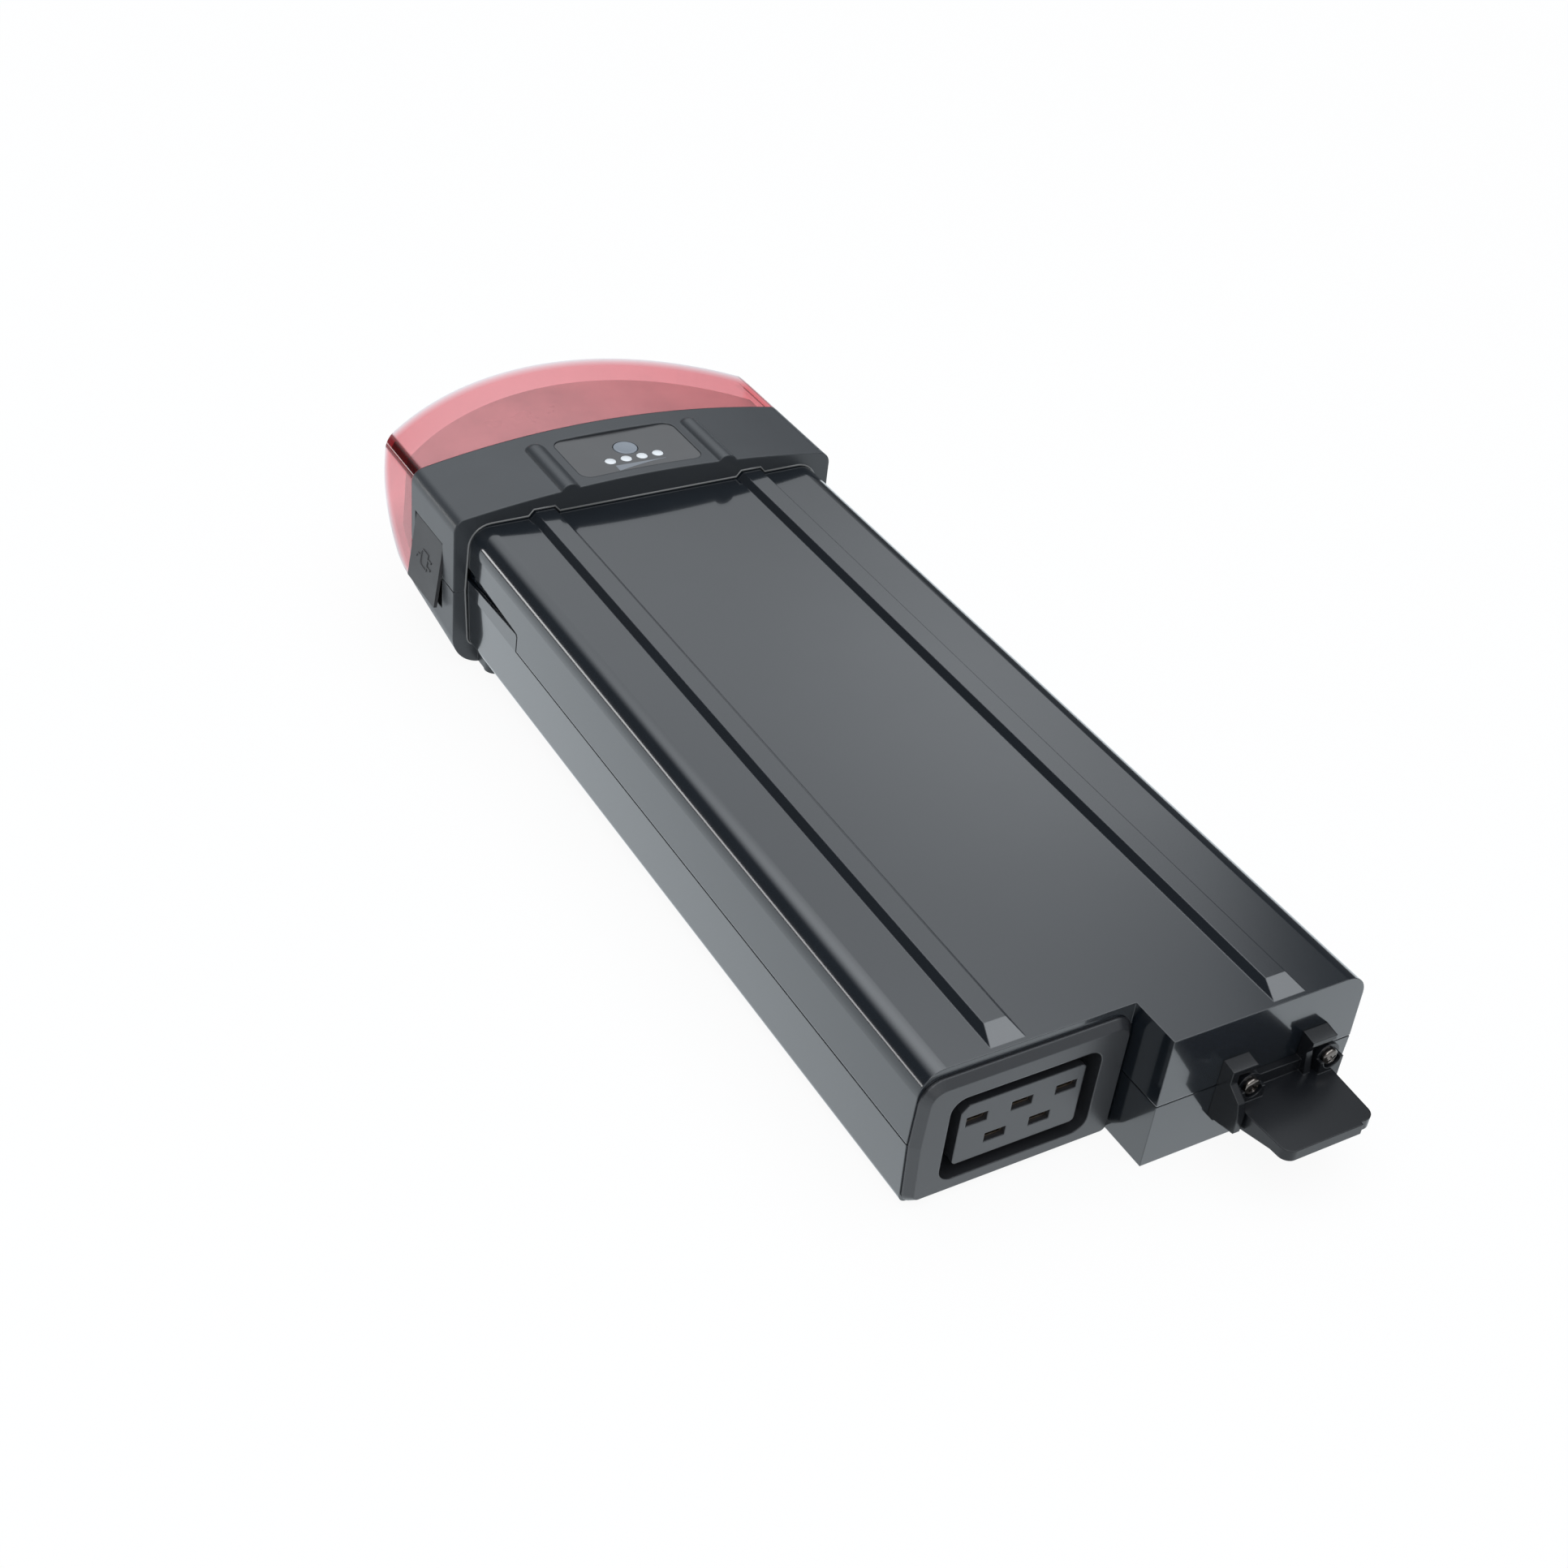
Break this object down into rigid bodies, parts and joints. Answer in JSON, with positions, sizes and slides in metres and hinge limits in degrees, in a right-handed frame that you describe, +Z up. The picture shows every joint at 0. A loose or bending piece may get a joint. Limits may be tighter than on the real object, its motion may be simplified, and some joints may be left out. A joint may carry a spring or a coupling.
{
  "type": "e-bike battery",
  "caption": "Flat slide-in rear-rack battery with guide ribs, a bowed red tail light, a charge gauge with button, a side charge port, a contact block and a hook tongue.",
  "frame": {"origin": "centre of the flat underside of the case, on the middle plane and midway between the cap flange and the front end", "axes": "+X forward towards the hook tongue and the connector, +Y towards the hook tongue's side, +Z up"},
  "size_m": [0.4296, 0.1552, 0.0667],
  "materials": {
    "shell": "semi-gloss moulded black",
    "cap": "fine matte grain",
    "lens": "clear red",
    "housing": "plain",
    "reflector": "bright",
    "board": "coated board",
    "lamp": "clear resin",
    "label": "satin film",
    "button": "satin",
    "light_pipe": "frosted",
    "rubber": "matte",
    "screw": "dark nickel",
    "socket": "nickel plated",
    "dark_plastic": "plain",
    "pin": "gold plated",
    "contact": "tinned",
    "insert": "knurled",
    "cell": "sleeved",
    "holder": "plain",
    "nickel": "bright strip",
    "sheet": "fish paper",
    "foam": "foam",
    "part": "plain",
    "sink": "plain",
    "fuse": "plain",
    "lead": "insulated"
  },
  "bodies": {
    "battery": {"upper_shell": "shell", "lower_shell": "shell", "shell_seal": "rubber", "case_screws": "screw", "rear_cap_upper": "cap", "rear_cap_lower": "cap", "cap_screws": "screw", "tail_lens": "lens", "tail_housing": "housing", "tail_reflector": "reflector", "tail_board": "board", "tail_lamp_row": "lamp", "display_label": "label", "power_switch": "dark_plastic", "gauge_light_pipes": "light_pipe", "gauge_lamps": "lamp", "gauge_board": "board", "gauge_board_screws": "screw", "charge_port_housing": "dark_plastic", "charge_socket_shell": "socket", "charge_socket_insulator": "dark_plastic", "charge_socket_pins": "pin", "connector_bezel": "cap", "connector_block": "dark_plastic", "connector_contacts": "contact", "connector_gasket": "rubber", "hook_bracket": "shell", "bracket_screws": "screw", "bracket_inserts": "insert", "cells": "cell", "left_cell_holders": "holder", "right_cell_holders": "holder", "nickel_strips": "nickel", "insulating_sheets": "sheet", "foam_pads": "foam", "battery_board": "board", "battery_board_parts": "part", "heat_sink": "sink", "main_fuse": "fuse", "power_leads": "lead", "charge_leads": "lead", "lamp_lead": "lead"},
    "flap": {"charge_port_flap": "rubber"},
    "button": {"power_button": "button", "switch_plunger": "dark_plastic"}
  },
  "joints": [
    {"name": "flap_hinge", "type": "hinge", "parent": "battery", "child": "flap", "pos_m": [-0.1775, -0.07505, 0.03615], "axis": [-1, 0, 0], "range_deg": [-8, 97]},
    {"name": "button_press", "type": "slide", "parent": "battery", "child": "button", "axis": [0, 0, -1], "range_m": [0, 0.0004], "stiffness_N_per_m": 800}
  ]
}
